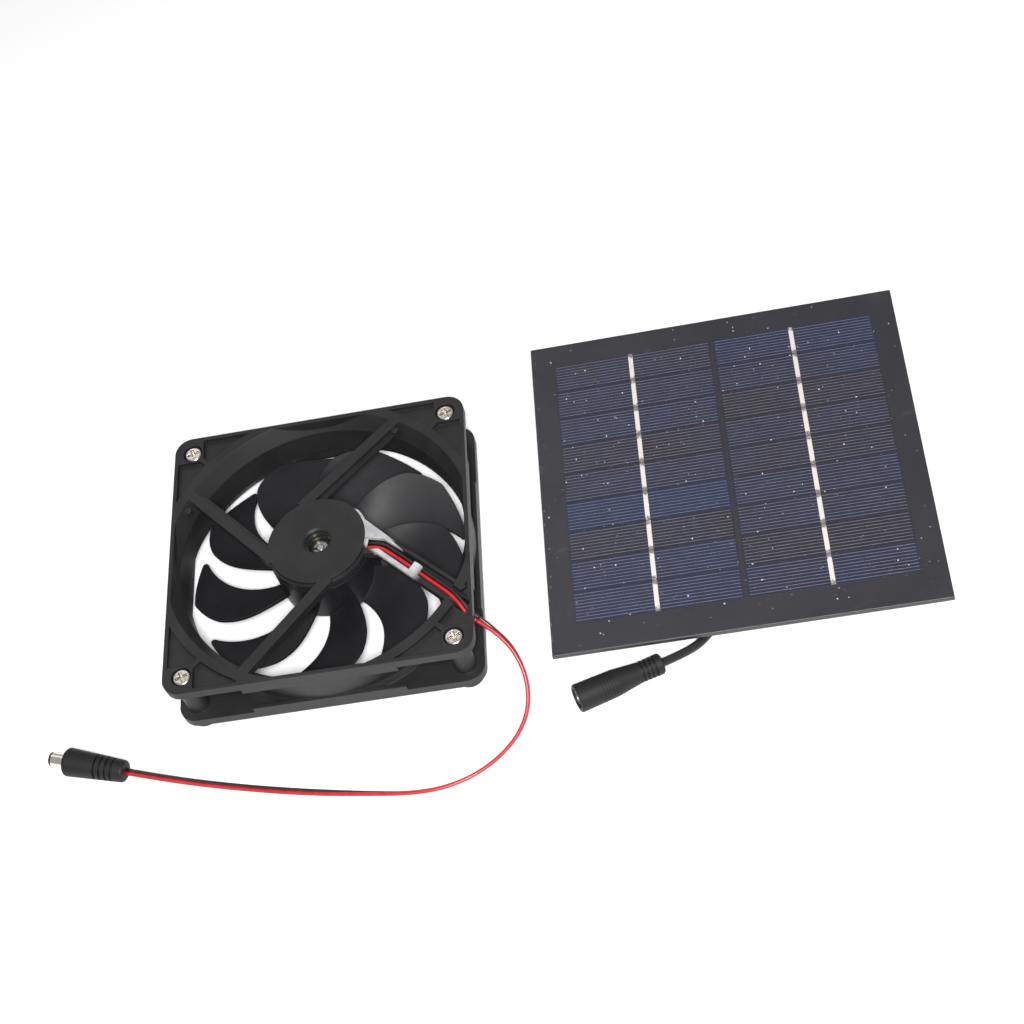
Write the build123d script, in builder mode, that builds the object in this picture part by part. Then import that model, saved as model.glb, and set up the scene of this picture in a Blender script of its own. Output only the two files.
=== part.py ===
"""Solar attic fan: a 120 mm axial fan with its DC lead, and a 150 mm solar panel with its DC socket.

Millimetres, +Z up, the floor at Z = 0.  The origin is on the floor at the middle of the two units.
"""
from build123d import *
import os
from math import atan2, degrees, pi, radians, tan

os.makedirs("parts", exist_ok=True)

# ---------------------------------------------------------------- driving dimensions
unit_span_x = 295.2              # both units side by side, left edge of the fan to right edge of the panel
unit_span_y = 156.6              # front edge of the fan to back edge of the panel

fan_side = 120.0                 # standard 120 x 120 x 25 axial fan
fan_depth = 25.0
screw_pitch = 105.0
foot_height = 6.0
flange_thickness = 4.0
corner_radius = 7.0
duct_radius = 57.5
duct_wall = 1.9
flare_radius = 61.3              # the duct's mouth, wider than the sides and so cut off by them
flare_depth = 6.5
rim_width = 1.6                  # thin rim left along each side of the mouth
post_radius = 4.3
screw_hole_radius = 2.2

pocket_depth = 2.0               # shallow triangular pockets beside the screws
pocket_ring_radius = 65.2
boss_edge = 48.0
pocket_rib_width = 2.0

plate_radius = 19.4              # motor plate in the middle of the outlet side
plate_rim_radius = 20.4
plate_hole_radius = 5.0
strut_height = 3.6
strut_width = 4.4
strut_ledge_width = 1.6

hub_radius = 20.5
hub_wall = 1.6
shaft_radius = 1.5
blade_count = 9
blade_tip_radius = 55.2
blade_thickness = 1.5

panel_side = 150.0               # 150 x 150 mm panel
panel_top = 7.85                 # height of its face above the floor
board_thickness = 1.6
front_layer_thickness = 0.75

lead_diameter = 3.0              # bonded red and black pair
wire_diameter = 1.5
cable_diameter = 3.4

# ---------------------------------------------------------------- places worked out from them
fan_x = (fan_side - unit_span_x) / 2
fan_y = (fan_side - unit_span_y) / 2
panel_x = (unit_span_x - panel_side) / 2
panel_y = (unit_span_y - panel_side) / 2
fan_bottom = foot_height
fan_top = foot_height + fan_depth
fan_base = Plane(origin=(fan_x, fan_y, 0))
panel_base = Plane(origin=(panel_x, panel_y, 0))
fan_axis = Axis((fan_x, fan_y, 0), (0, 0, 1))
fan_section = Plane(origin=(fan_x, fan_y, 0), x_dir=(1, 0, 0), z_dir=(0, -1, 0))


def ring_section(inner, outer, low, high):
    """A rectangle of a ring's section, radius along the sketch's X and height along its Y."""
    with Locations(((inner + outer) / 2, (low + high) / 2)):
        Rectangle(outer - inner, high - low)


def bar(start, end, width, side=0.0):
    """A straight bar between two points of a sketch, moved sideways to its right by side."""
    run = Vector(*end) - Vector(*start)
    middle = (Vector(*start) + Vector(*end)) * 0.5
    right = Vector(run.Y, -run.X).normalized() * side
    with Locations((middle.X + right.X, middle.Y + right.Y)):
        Rectangle(run.length, width, rotation=degrees(atan2(run.Y, run.X)))


def route_radii(points):
    """The arc radius at each corner of a route, as large as the two runs beside it allow."""
    corners = [Vector(*p) for p in points]
    radii = []
    for before, here, after in zip(corners, corners[1:], corners[2:]):
        turn = (here - before).get_angle(after - here)
        shorter = min((here - before).length, (after - here).length)
        radii.append(0.45 * shorter / tan(radians(turn) / 2))
    return radii


def print_route(label, points, diameter, solid):
    """Report a route's bends, and its volume beside section times length."""
    radii = route_radii(points)
    path_length = Wire(FilletPolyline(*points, radius=radii, mode=Mode.PRIVATE).edges()).length
    section = pi * diameter ** 2 / 4
    print(label, "length", round(path_length, 1), "radii", [round(r, 1) for r in radii],
          "volume", round(solid.volume, 1), "section x length", round(section * path_length, 1))


# ---------------------------------------------------------------- fan frame
strut_lines = [((-6.5, 17.5), (33.0, 54.0)), ((-17.5, -6.0), (-54.0, 33.5)), ((4.5, -18.0), (-31.5, -57.5))]
channel_upper = [(17.0, -0.6), (27.0, -3.6), (38.0, -13.4), (57.5, -32.0)]
channel_lower = [(18.5, -8.6), (24.0, -9.2), (29.5, -14.6), (52.0, -36.9)]
channel_upper_width = 1.4
channel_lower_width = 1.9
# between the plate and the channel's upper wall a web fills the corner
web_outline = [(9.0, 12.0), (11.5, 14.6), (38.0, -13.4), (27.0, -3.6), (17.0, -0.6), (10.0, 0.0)]
channel_floor = 1.0
slot_line = [(51.4, -33.4), (58.4, -40.4)]
slot_width = 5.0
trench_line = [(46.0, -26.2), (56.0, -36.3)]
trench_width = 4.6
hook_spots = [(31.5, 48.2), (-53.6, 24.8), (58.2, -33.6)]
hook_radius = 1.4
hook_drop = 0.8                  # a hook's top lies this far below the frame's face
strut_ledge_height = 1.3
floor_outline = [(40.5, -15.8), (57.5, -32.0), (56.5, -39.5), (52.0, -37.5), (42.0, -28.0)]
bridge_line = [(40.3, -18.2), (37.2, -22.2)]
bridge_width = 4.2
bridge_height = 1.0
plate_thickness = 2.0
plate_skirt = 4.2                # from the plate's face down to its skirt's lower edge
plate_rim_drop = 1.4
skirt_wall = 1.2
plate_hole_chamfer = 0.7
wire_gap_line = [(15.0, -4.0), (24.0, -6.4)]
wire_gap_width = 6.0
counterbore_radius = 3.95
counterbore_depth = 2.6

with BuildPart() as fan_frame:
    for level in (fan_bottom, fan_top - flange_thickness):
        with BuildSketch(fan_base.offset(level)):
            RectangleRounded(fan_side, fan_side, corner_radius)
        extrude(amount=flange_thickness)
    with BuildSketch(fan_base.offset(fan_bottom)):
        with GridLocations(screw_pitch, screw_pitch, 2, 2):
            Circle(post_radius)
    extrude(amount=fan_depth)
    # the duct's shell follows the flared bore, a wall's thickness outside it
    with BuildSketch(fan_section):
        with BuildLine():
            Polyline((0, fan_bottom), (flare_radius + duct_wall, fan_bottom),
                     (duct_radius + duct_wall, fan_bottom + flare_depth),
                     (duct_radius + duct_wall, fan_top - flare_depth),
                     (flare_radius + duct_wall, fan_top), (0, fan_top), close=True)
        make_face()
    revolve(axis=fan_axis)
    with BuildSketch(fan_base.offset(fan_bottom)):
        RectangleRounded(fan_side, fan_side, corner_radius)
    extrude(amount=fan_depth, mode=Mode.INTERSECT)
    with BuildSketch(fan_section):
        with BuildLine():
            Polyline((0, fan_bottom - 1), (flare_radius, fan_bottom - 1), (flare_radius, fan_bottom),
                     (duct_radius, fan_bottom + flare_depth), (duct_radius, fan_top - flare_depth),
                     (flare_radius, fan_top), (flare_radius, fan_top + 1), (0, fan_top + 1), close=True)
        make_face()
    revolve(axis=fan_axis, mode=Mode.SUBTRACT)
    for level in (fan_bottom, fan_top - flare_depth):
        with BuildSketch(fan_base.offset(level)):
            RectangleRounded(fan_side, fan_side, corner_radius)
            Rectangle(fan_side - 2 * rim_width, fan_side - 2 * rim_width, mode=Mode.SUBTRACT)
            Circle(duct_radius, mode=Mode.SUBTRACT)
            with GridLocations(fan_side, fan_side, 2, 2):
                Rectangle(fan_side / 2, fan_side / 2, mode=Mode.SUBTRACT)
        extrude(amount=flare_depth)
    # two shallow pockets beside each screw, with a rib between them
    pocket_side = fan_side - 2 * rim_width
    with BuildSketch(fan_base.offset(fan_top)):
        Rectangle(pocket_side, pocket_side)
        Circle(pocket_ring_radius, mode=Mode.SUBTRACT)
        with GridLocations(2 * boss_edge + fan_side / 4, 2 * boss_edge + fan_side / 4, 2, 2):
            Rectangle(fan_side / 4, fan_side / 4, mode=Mode.SUBTRACT)
        for turn in (45, 135):
            Rectangle(2 * fan_side, pocket_rib_width, rotation=turn, mode=Mode.SUBTRACT)
    extrude(amount=-pocket_depth, mode=Mode.SUBTRACT)
    # motor plate, hollow underneath for the circuit board
    with BuildSketch(fan_section):
        ring_section(0, plate_radius, fan_top - plate_thickness, fan_top)
        ring_section(plate_radius - skirt_wall, plate_radius, fan_top - plate_skirt, fan_top)
        ring_section(plate_radius - skirt_wall, plate_rim_radius,
                     fan_top - plate_skirt, fan_top - plate_rim_drop)
    revolve(axis=fan_axis)
    # three struts, each with a low ledge along its right side
    with BuildSketch(fan_base.offset(fan_top - strut_height)):
        for start, end in strut_lines:
            bar(start, end, strut_width)
    extrude(amount=strut_height)
    with BuildSketch(fan_base.offset(fan_top - strut_height)):
        for start, end in strut_lines:
            bar(start, end, strut_ledge_width, side=(strut_width + strut_ledge_width) / 2)
    extrude(amount=strut_ledge_height)
    # the fourth strut is a channel for the wires
    with BuildSketch(fan_base.offset(fan_top - strut_height)):
        for wall, width in ((channel_upper, channel_upper_width), (channel_lower, channel_lower_width)):
            for start, end in zip(wall, wall[1:]):
                bar(start, end, width)
            with Locations(*wall[1:-1]):
                Circle(width / 2)
    extrude(amount=strut_height)
    with BuildSketch(fan_base.offset(fan_top - plate_thickness)):
        with BuildLine():
            Polyline(*web_outline, close=True)
        make_face()
    extrude(amount=plate_thickness)
    with BuildSketch(fan_base.offset(fan_top - strut_height)):
        with BuildLine():
            Polyline(*floor_outline, close=True)
        make_face()
    extrude(amount=channel_floor)
    with BuildSketch(fan_base.offset(fan_top - bridge_height)):
        bar(*bridge_line, bridge_width)
    extrude(amount=bridge_height)
    with BuildSketch(fan_base.offset(fan_top - strut_height)):
        with Locations(*hook_spots):
            Circle(hook_radius)
    extrude(amount=strut_height - hook_drop)
    # the wires leave along a trench above the channel's floor, and through a slot in the corner plate
    with BuildSketch(fan_base.offset(fan_top - strut_height + channel_floor)):
        bar(*trench_line, trench_width)
    extrude(amount=strut_height, mode=Mode.SUBTRACT)
    with BuildSketch(fan_base.offset(fan_top - flange_thickness - 1)):
        bar(*slot_line, slot_width)
        Rectangle(fan_side - 2.0, fan_side, mode=Mode.INTERSECT)
    extrude(amount=flange_thickness + 2, mode=Mode.SUBTRACT)
    # plate hole with a chamfered edge, and the gap in the plate's skirt for the wires
    with BuildSketch(fan_section):
        with BuildLine():
            Polyline((0, fan_top - 3), (plate_hole_radius, fan_top - 3),
                     (plate_hole_radius, fan_top - plate_hole_chamfer),
                     (plate_hole_radius + plate_hole_chamfer, fan_top),
                     (plate_hole_radius + plate_hole_chamfer, fan_top + 1), (0, fan_top + 1), close=True)
        make_face()
    revolve(axis=fan_axis, mode=Mode.SUBTRACT)
    with BuildSketch(fan_base.offset(fan_top - plate_skirt - 1)):
        Circle(plate_radius - skirt_wall)
        bar(*wire_gap_line, wire_gap_width)
    extrude(amount=plate_skirt + 1 - plate_thickness, mode=Mode.SUBTRACT)
    # screw holes, sunk on the outlet side so that the heads lie just below the face
    with BuildSketch(fan_base.offset(fan_bottom - 1)):
        with GridLocations(screw_pitch, screw_pitch, 2, 2):
            Circle(screw_hole_radius)
    extrude(amount=fan_depth + 2, mode=Mode.SUBTRACT)
    with BuildSketch(fan_base.offset(fan_top)):
        with GridLocations(screw_pitch, screw_pitch, 2, 2):
            Circle(counterbore_radius)
    extrude(amount=-counterbore_depth, mode=Mode.SUBTRACT)
fan_frame.part.label = "fan_frame"
export_step(fan_frame.part, "parts/fan_frame.step")

# ---------------------------------------------------------------- impeller: hub cup and nine blades
hub_low = fan_bottom + 2.0
hub_high = fan_bottom + 20.0
hub_floor = 1.8
hub_boss_radius = 4.0
hub_boss_height = 5.5
blade_low = fan_bottom + 1.0
blade_rise = 10.1
blade_camber = 0.29              # height of the section's middle, as a part of its rise
first_blade_angle = 197.0
# blade sections: distance out from the hub's axis, low end and high end across the blade
blade_stations = [(17.0, -7.0, 9.5), (30.0, -11.0, 11.6), (44.0, -30.0, 10.0), (58.0, -42.0, -1.0)]

with BuildPart() as blade:
    for outward, low_end, high_end in blade_stations:
        middle = (low_end + high_end) / 2
        with BuildSketch(Plane(origin=(outward, 0, 0), x_dir=(0, 1, 0), z_dir=(1, 0, 0))):
            with BuildLine():
                lower = ThreePointArc((low_end, blade_low), (middle, blade_low + blade_camber * blade_rise),
                                      (high_end, blade_low + blade_rise))
                upper = ThreePointArc(*[lower @ share + Vector(0, blade_thickness) for share in (0, 0.5, 1)])
                Line(lower @ 0, upper @ 0)
                Line(lower @ 1, upper @ 1)
            make_face()
    loft()
    # seen from above the blade is a sickle, with a horn at the tip of its leading edge
    with BuildSketch():
        with BuildLine():
            leading_edge = Spline((17.2, -3.6), (28.4, -4.6), (37.5, -9.5), (42.9, -16.6), (45.6, -33.6))
            trailing_edge = Spline((56.4, -17.9), (53.6, -1.4), (45.2, 9.7), (33.6, 11.9), (16.8, 7.9))
            Polyline(leading_edge @ 1, (58.6, -35.0), (58.6, -18.0), trailing_edge @ 0)
            Line(trailing_edge @ 1, leading_edge @ 0)
        make_face()
        Circle(blade_tip_radius, mode=Mode.INTERSECT)
        Circle(hub_radius - hub_wall / 2, mode=Mode.SUBTRACT)
        fillet(vertices().sort_by(Axis.Y)[0], radius=1.2)
    extrude(amount=fan_top, mode=Mode.INTERSECT)

with BuildPart(fan_base) as impeller:
    with BuildSketch(fan_section):
        ring_section(0, hub_radius, hub_low, hub_low + hub_floor)
        ring_section(hub_radius - hub_wall, hub_radius, hub_low, hub_high)
        ring_section(0, hub_boss_radius, hub_low, hub_low + hub_boss_height)
    revolve(axis=fan_axis)
    with PolarLocations(0, blade_count, start_angle=first_blade_angle):
        add(blade.part)
    with BuildSketch(fan_base.offset(hub_low + 1.0)):
        Circle(shaft_radius)
    extrude(amount=hub_boss_height, mode=Mode.SUBTRACT)
impeller.part.label = "impeller"
export_step(impeller.part, "parts/impeller.step")

# ---------------------------------------------------------------- rotor: yoke, magnet, shaft and clip
yoke_radius = hub_radius - hub_wall
yoke_sheet = 0.8
magnet_radius = yoke_radius - yoke_sheet
air_gap_radius = 15.6
shaft_top = fan_top - 5.0
clip_height = shaft_top - 0.9
clip_radius = 2.9
clip_thickness = 0.5
clip_notch = (2.6, 1.3)
clip_notch_place = (-2.2, 0)
groove_depth = 0.3

with BuildPart() as rotor_yoke:
    with BuildSketch(fan_section):
        ring_section(hub_boss_radius, yoke_radius, hub_low + hub_floor, hub_low + hub_floor + yoke_sheet)
        ring_section(magnet_radius, yoke_radius, hub_low + hub_floor, hub_high - 1.0)
    revolve(axis=fan_axis)
rotor_yoke.part.label = "rotor_yoke"
export_step(rotor_yoke.part, "parts/rotor_yoke.step")

with BuildPart() as ring_magnet:
    with BuildSketch(fan_section):
        ring_section(air_gap_radius, magnet_radius, hub_low + 4.0, hub_high - 2.0)
    revolve(axis=fan_axis)
ring_magnet.part.label = "ring_magnet"
export_step(ring_magnet.part, "parts/ring_magnet.step")

with BuildPart() as motor_shaft:
    with BuildSketch(fan_section):
        ring_section(0, shaft_radius, hub_low + 1.0, shaft_top)
    revolve(axis=fan_axis)
    with BuildSketch(fan_section):
        ring_section(shaft_radius - groove_depth, shaft_radius + 1,
                     clip_height, clip_height + clip_thickness)
    revolve(axis=fan_axis, mode=Mode.SUBTRACT)
    chamfer(motor_shaft.edges().group_by(Axis.Z)[-1], length=0.3)
motor_shaft.part.label = "motor_shaft"
export_step(motor_shaft.part, "parts/motor_shaft.step")

with BuildPart() as shaft_clip:
    with BuildSketch(fan_base.offset(clip_height)):
        Circle(clip_radius)
        Circle(shaft_radius - groove_depth, mode=Mode.SUBTRACT)
        with Locations(clip_notch_place):
            Rectangle(*clip_notch, mode=Mode.SUBTRACT)
    extrude(amount=clip_thickness)
shaft_clip.part.label = "shaft_clip"
export_step(shaft_clip.part, "parts/shaft_clip.step")

# ---------------------------------------------------------------- bearing and its tube
tube_outer = 5.8
tube_inner = 4.6
tube_low = hub_low + hub_boss_height + 0.5
tube_lip_width = 0.9
tube_lip_height = 0.6
bearing_clearance = 0.05
bearing_top = clip_height - 0.3

with BuildPart() as bearing_tube:
    with BuildSketch(fan_section):
        ring_section(tube_inner, tube_outer, tube_low, fan_top - plate_thickness)
        ring_section(tube_inner - tube_lip_width, tube_outer, tube_low, tube_low + tube_lip_height)
    revolve(axis=fan_axis)
bearing_tube.part.label = "bearing_tube"
export_step(bearing_tube.part, "parts/bearing_tube.step")

with BuildPart() as sleeve_bearing:
    with BuildSketch(fan_section):
        ring_section(shaft_radius + bearing_clearance, tube_inner, tube_low + tube_lip_height, bearing_top)
    revolve(axis=fan_axis)
    chamfer(sleeve_bearing.edges().group_by(Axis.Z)[-1], length=0.35)
sleeve_bearing.part.label = "sleeve_bearing"
export_step(sleeve_bearing.part, "parts/sleeve_bearing.step")

# ---------------------------------------------------------------- stator: core, insulators and four coils
core_low = hub_low + 7.0
core_height = 7.0
core_ring_radius = 8.0
core_radius = 15.0
arm_width = 3.2
shoe_inner_radius = 13.4
slot_gap = 3.4
insulator_thickness = 0.7
insulator_setback = 0.3          # the insulators stop this far inside the core's edges
board_post_circle = 14.0
board_post_radius = 0.6
coil_start = 8.3                 # from the fan's centre
coil_corner = 1.5
coil_width = 8.0
coil_build = 1.8
coil_length = 4.2


def stator_outline(outer, ring, arm, shoe_inner, gap):
    """The four-pole outline shared by the core and its insulators."""
    Circle(outer)
    Circle(shoe_inner, mode=Mode.SUBTRACT)
    for turn in (45, 135):
        Rectangle(3 * outer, gap, rotation=turn, mode=Mode.SUBTRACT)
    Circle(ring)
    for turn in (0, 90):
        Rectangle(2 * shoe_inner + 1, arm, rotation=turn)
    Circle(tube_outer, mode=Mode.SUBTRACT)


with BuildPart() as stator_core:
    with BuildSketch(fan_base.offset(core_low)):
        stator_outline(core_radius, core_ring_radius, arm_width, shoe_inner_radius, slot_gap)
    extrude(amount=core_height)
stator_core.part.label = "stator_core"
export_step(stator_core.part, "parts/stator_core.step")

with BuildPart() as lower_insulator:
    with BuildSketch(fan_base.offset(core_low - insulator_thickness)):
        stator_outline(core_radius - insulator_setback, core_ring_radius, arm_width, shoe_inner_radius,
                       slot_gap + 2 * insulator_setback)
    extrude(amount=insulator_thickness)
lower_insulator.part.label = "lower_insulator"
export_step(lower_insulator.part, "parts/lower_insulator.step")

board_low = fan_top - 5.2
with BuildPart() as upper_insulator:
    with BuildSketch(fan_base.offset(core_low + core_height)):
        stator_outline(core_radius - insulator_setback, core_ring_radius, arm_width, shoe_inner_radius,
                       slot_gap + 2 * insulator_setback)
    extrude(amount=insulator_thickness)
    # four posts carry the circuit board
    with BuildSketch(fan_base.offset(core_low + core_height)):
        with PolarLocations(board_post_circle, 4):
            Circle(board_post_radius)
    extrude(amount=board_low - core_low - core_height)
upper_insulator.part.label = "upper_insulator"
export_step(upper_insulator.part, "parts/upper_insulator.step")

window_height = core_height + 2 * insulator_thickness
with BuildPart() as stator_coils:
    for turn in range(4):
        outward = Vector(1, 0, 0).rotate(Axis.Z, 90 * turn)
        coil_root = Vector(fan_x, fan_y, core_low + core_height / 2) + outward * coil_start
        with BuildSketch(Plane(origin=coil_root, x_dir=(0, 0, 1), z_dir=outward)):
            RectangleRounded(window_height + 2 * coil_build, coil_width, coil_corner)
            Rectangle(window_height, arm_width, mode=Mode.SUBTRACT)
        extrude(amount=coil_length)
stator_coils.part.label = "stator_coils"
export_step(stator_coils.part, "parts/stator_coils.step")

# ---------------------------------------------------------------- circuit board and what is on it
circuit_board_radius = 17.6
circuit_board_thickness = 0.8
circuit_board_clearance = 0.3
chip_place = (-11.5, 3.0)
chip_size = (4.0, 5.0)
chip_height = 0.7
sensor_place = (9.9, 9.9)
sensor_size = (1.6, 3.0)
sensor_height = 2.2

with BuildPart() as circuit_board:
    with BuildSketch(fan_base.offset(board_low)):
        Circle(circuit_board_radius)
        Circle(tube_outer + circuit_board_clearance, mode=Mode.SUBTRACT)
    extrude(amount=circuit_board_thickness)
circuit_board.part.label = "circuit_board"
export_step(circuit_board.part, "parts/circuit_board.step")

with BuildPart() as driver_chip:
    with BuildSketch(fan_base.offset(board_low + circuit_board_thickness)):
        with Locations(chip_place):
            Rectangle(*chip_size)
    extrude(amount=chip_height)
driver_chip.part.label = "driver_chip"
export_step(driver_chip.part, "parts/driver_chip.step")

with BuildPart() as hall_sensor:
    with BuildSketch(fan_base.offset(board_low)):
        with Locations(Location(sensor_place, 45)):
            Rectangle(*sensor_size)
    extrude(amount=-sensor_height)
hall_sensor.part.label = "hall_sensor"
export_step(hall_sensor.part, "parts/hall_sensor.step")

# ---------------------------------------------------------------- corner screws, nuts and rubber feet
shank_radius = 1.95
head_radius = 3.6
head_seat = fan_top - counterbore_depth
head_height = 2.3
head_edge = 0.9
cross_length = 4.9
cross_width = 1.4
cross_depth = 1.8
cross_taper = 12
cross_turn = 20                  # degrees
shank_low = 1.6
nut_low = 2.4
nut_height = 3.0
nut_half_width = 3.5
foot_radius = 5.9
foot_edge = 3.2

with BuildPart() as corner_screws:
    with BuildSketch(fan_base.offset(head_seat)):
        with GridLocations(screw_pitch, screw_pitch, 2, 2):
            Circle(head_radius)
    extrude(amount=head_height)
    fillet(corner_screws.edges().group_by(Axis.Z)[-1], radius=head_edge)
    with BuildSketch(fan_base.offset(shank_low)):
        with GridLocations(screw_pitch, screw_pitch, 2, 2):
            Circle(shank_radius)
    extrude(amount=head_seat - shank_low)
    for turn in (0, 90):
        with BuildSketch(fan_base.offset(head_seat + head_height)):
            with GridLocations(screw_pitch, screw_pitch, 2, 2):
                Rectangle(cross_length, cross_width, rotation=turn + cross_turn)
        extrude(amount=-cross_depth, taper=cross_taper, mode=Mode.SUBTRACT)
corner_screws.part.label = "corner_screws"
export_step(corner_screws.part, "parts/corner_screws.step")

with BuildPart() as corner_nuts:
    with BuildSketch(fan_base.offset(nut_low)):
        with GridLocations(screw_pitch, screw_pitch, 2, 2):
            RegularPolygon(nut_half_width, 6, major_radius=False)
            Circle(shank_radius, mode=Mode.SUBTRACT)
    extrude(amount=nut_height)
corner_nuts.part.label = "corner_nuts"
export_step(corner_nuts.part, "parts/corner_nuts.step")

with BuildPart() as rubber_feet:
    with BuildSketch(fan_base):
        with GridLocations(screw_pitch, screw_pitch, 2, 2):
            Circle(foot_radius)
    extrude(amount=foot_height)
    fillet(rubber_feet.edges().group_by(Axis.Z)[0], radius=foot_edge)
    with BuildSketch(fan_base.offset(nut_low)):
        with GridLocations(screw_pitch, screw_pitch, 2, 2):
            RegularPolygon(nut_half_width, 6, major_radius=False)
    extrude(amount=nut_height, mode=Mode.SUBTRACT)
    with BuildSketch(fan_base.offset(shank_low)):
        with GridLocations(screw_pitch, screw_pitch, 2, 2):
            Circle(shank_radius)
    extrude(amount=foot_height, mode=Mode.SUBTRACT)
rubber_feet.part.label = "rubber_feet"
export_step(rubber_feet.part, "parts/rubber_feet.step")

# ---------------------------------------------------------------- wires inside the fan, and the free lead
lead_route = [(-27.1, -60.9, 24.6), (-21.4, -65.0, 22.0), (-14.6, -72.6, 16.6), (-11.6, -83.0, 9.6),
              (-13.8, -94.4, 4.0), (-22.6, -105.6, 1.5), (-37.0, -114.8, 1.5), (-55.0, -118.0, 1.5),
              (-80.0, -114.2, 1.5), (-104.0, -109.6, 1.5), (-129.0, -103.7, 1.5), (-151.8, -98.4, 3.45),
              (-170.3, -92.7, 4.5)]
# inside the fan, from its centre: the circuit board, the plate's edge and the channel
red_inside = [(12.6, -4.0, 27.4), (18.4, -4.8, 27.8), (25.0, -6.8, 29.2), (34.0, -15.2, 29.2),
              (44.0, -25.4, 29.25), (52.8, -34.2, 29.3)]
black_inside = [(12.6, -1.9, 27.4), (18.8, -2.6, 27.8), (26.2, -5.2, 29.2), (35.2, -13.9, 29.2),
                (45.2, -24.2, 29.25), (53.9, -33.0, 29.3)]


def route_tube(points, diameter):
    """A round tube along straight runs joined by tangent arcs."""
    with BuildLine() as path:
        FilletPolyline(*points, radius=route_radii(points))
    with BuildSketch(Plane(origin=path.line @ 0, z_dir=path.line % 0)) as section:
        Circle(diameter / 2)
    sweep(sections=section.sketch, path=path.line)


lead_start = Vector(*lead_route[0])
lead_heading = (Vector(*lead_route[1]) - lead_start).normalized()
lead_side = lead_heading.cross(Vector(0, 0, 1)).normalized()
wire_offset = wire_diameter / 2 + 0.03
exit_run = 3.4                   # the wires' last straight, beside the start of the free lead


def inside_route(points, side):
    """Points from the fan's centre, then the last run, in line with the free lead and beside it."""
    end = lead_start + lead_side * side
    placed = [(fan_x + x, fan_y + y, z) for x, y, z in points]
    return placed + [tuple(end - lead_heading * exit_run), tuple(end)]


red_route = inside_route(red_inside, wire_offset)
black_route = inside_route(black_inside, -wire_offset)

with BuildPart() as red_wire_inside:
    route_tube(red_route, wire_diameter)
red_wire_inside.part.label = "red_wire_inside"
export_step(red_wire_inside.part, "parts/red_wire_inside.step")
print_route("red_wire_inside", red_route, wire_diameter, red_wire_inside.part)

with BuildPart() as black_wire_inside:
    route_tube(black_route, wire_diameter)
black_wire_inside.part.label = "black_wire_inside"
export_step(black_wire_inside.part, "parts/black_wire_inside.step")
print_route("black_wire_inside", black_route, wire_diameter, black_wire_inside.part)

with BuildPart() as fan_lead:
    route_tube(lead_route, lead_diameter)
fan_lead.part.label = "fan_lead"
export_step(fan_lead.part, "parts/fan_lead.step")
print_route("fan_lead", lead_route, lead_diameter, fan_lead.part)

# ---------------------------------------------------------------- DC plug on the lead's end
# along the plug from the cable end to the tip, in the sketch's X, with radius in its Y
plug_heading = (Vector(*lead_route[-1]) - Vector(*lead_route[-2])).normalized()
plug_length = 25.2
plug_end_radius = 4.3
plug_front_radius = 5.6
plug_rib_start = 4.6
plug_rib_pitch = 2.3
plug_rib_count = 4
plug_rib_width = 0.8
plug_rib_cut = 3.0
barrel_radius = 2.75
barrel_wall = 0.4
barrel_length = 6.5
barrel_root = plug_length - 9.0
barrel_tip = plug_length + barrel_length
collar_radius = 3.2              # the barrel's collar, which the moulded body holds
collar_end = plug_length - 0.15
tip_ring = 1.0
tip_edge = 0.3
contact_radius = 1.35
contact_wall = 0.3
contact_recess = 1.2
plug_plane = Plane(origin=lead_route[-1], x_dir=plug_heading, z_dir=plug_heading.cross(Vector(0, 0, 1)))
plug_axis = Axis(lead_route[-1], plug_heading)


def along(start, end, inner, outer):
    """A rectangle of a section along an axis: the sketch's X runs along it and Y is the radius."""
    with Locations(((start + end) / 2, (inner + outer) / 2)):
        Rectangle(end - start, outer - inner)


with BuildPart() as plug_body:
    with BuildSketch(plug_plane):
        with BuildLine():
            Polyline((0, 0), (0, plug_end_radius - 0.9))
            ThreePointArc((0, plug_end_radius - 0.9), (0.3, plug_end_radius - 0.3), (1.0, plug_end_radius))
            Spline((1.0, plug_end_radius), (9.0, 4.8), (16.0, 5.15), (plug_length - 1.6, plug_front_radius))
            ThreePointArc((plug_length - 1.6, plug_front_radius),
                          (plug_length - 0.5, plug_front_radius - 0.5),
                          (plug_length, plug_front_radius - 1.6))
            Polyline((plug_length, plug_front_radius - 1.6), (plug_length, 0), (0, 0))
        make_face()
    revolve(axis=plug_axis)
    # flexible ribs near the cable end: rings cut nearly through, joined by the core
    with BuildSketch(plug_plane):
        for rib in range(plug_rib_count):
            with Locations((plug_rib_start + rib * plug_rib_pitch, plug_end_radius + 0.9)):
                Rectangle(plug_rib_width, plug_rib_cut)
    revolve(axis=plug_axis, mode=Mode.SUBTRACT)
    with BuildSketch(plug_plane):
        along(barrel_root, barrel_tip, 0, barrel_radius)
        along(barrel_root, collar_end, 0, collar_radius)
    revolve(axis=plug_axis, mode=Mode.SUBTRACT)
plug_body.part.label = "plug_body"
export_step(plug_body.part, "parts/plug_body.step")

with BuildPart() as plug_barrel:
    with BuildSketch(plug_plane):
        along(barrel_root, barrel_tip - tip_ring, barrel_radius - barrel_wall, barrel_radius)
        along(barrel_root, collar_end, barrel_radius - barrel_wall, collar_radius)
    revolve(axis=plug_axis)
plug_barrel.part.label = "plug_barrel"
export_step(plug_barrel.part, "parts/plug_barrel.step")

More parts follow.
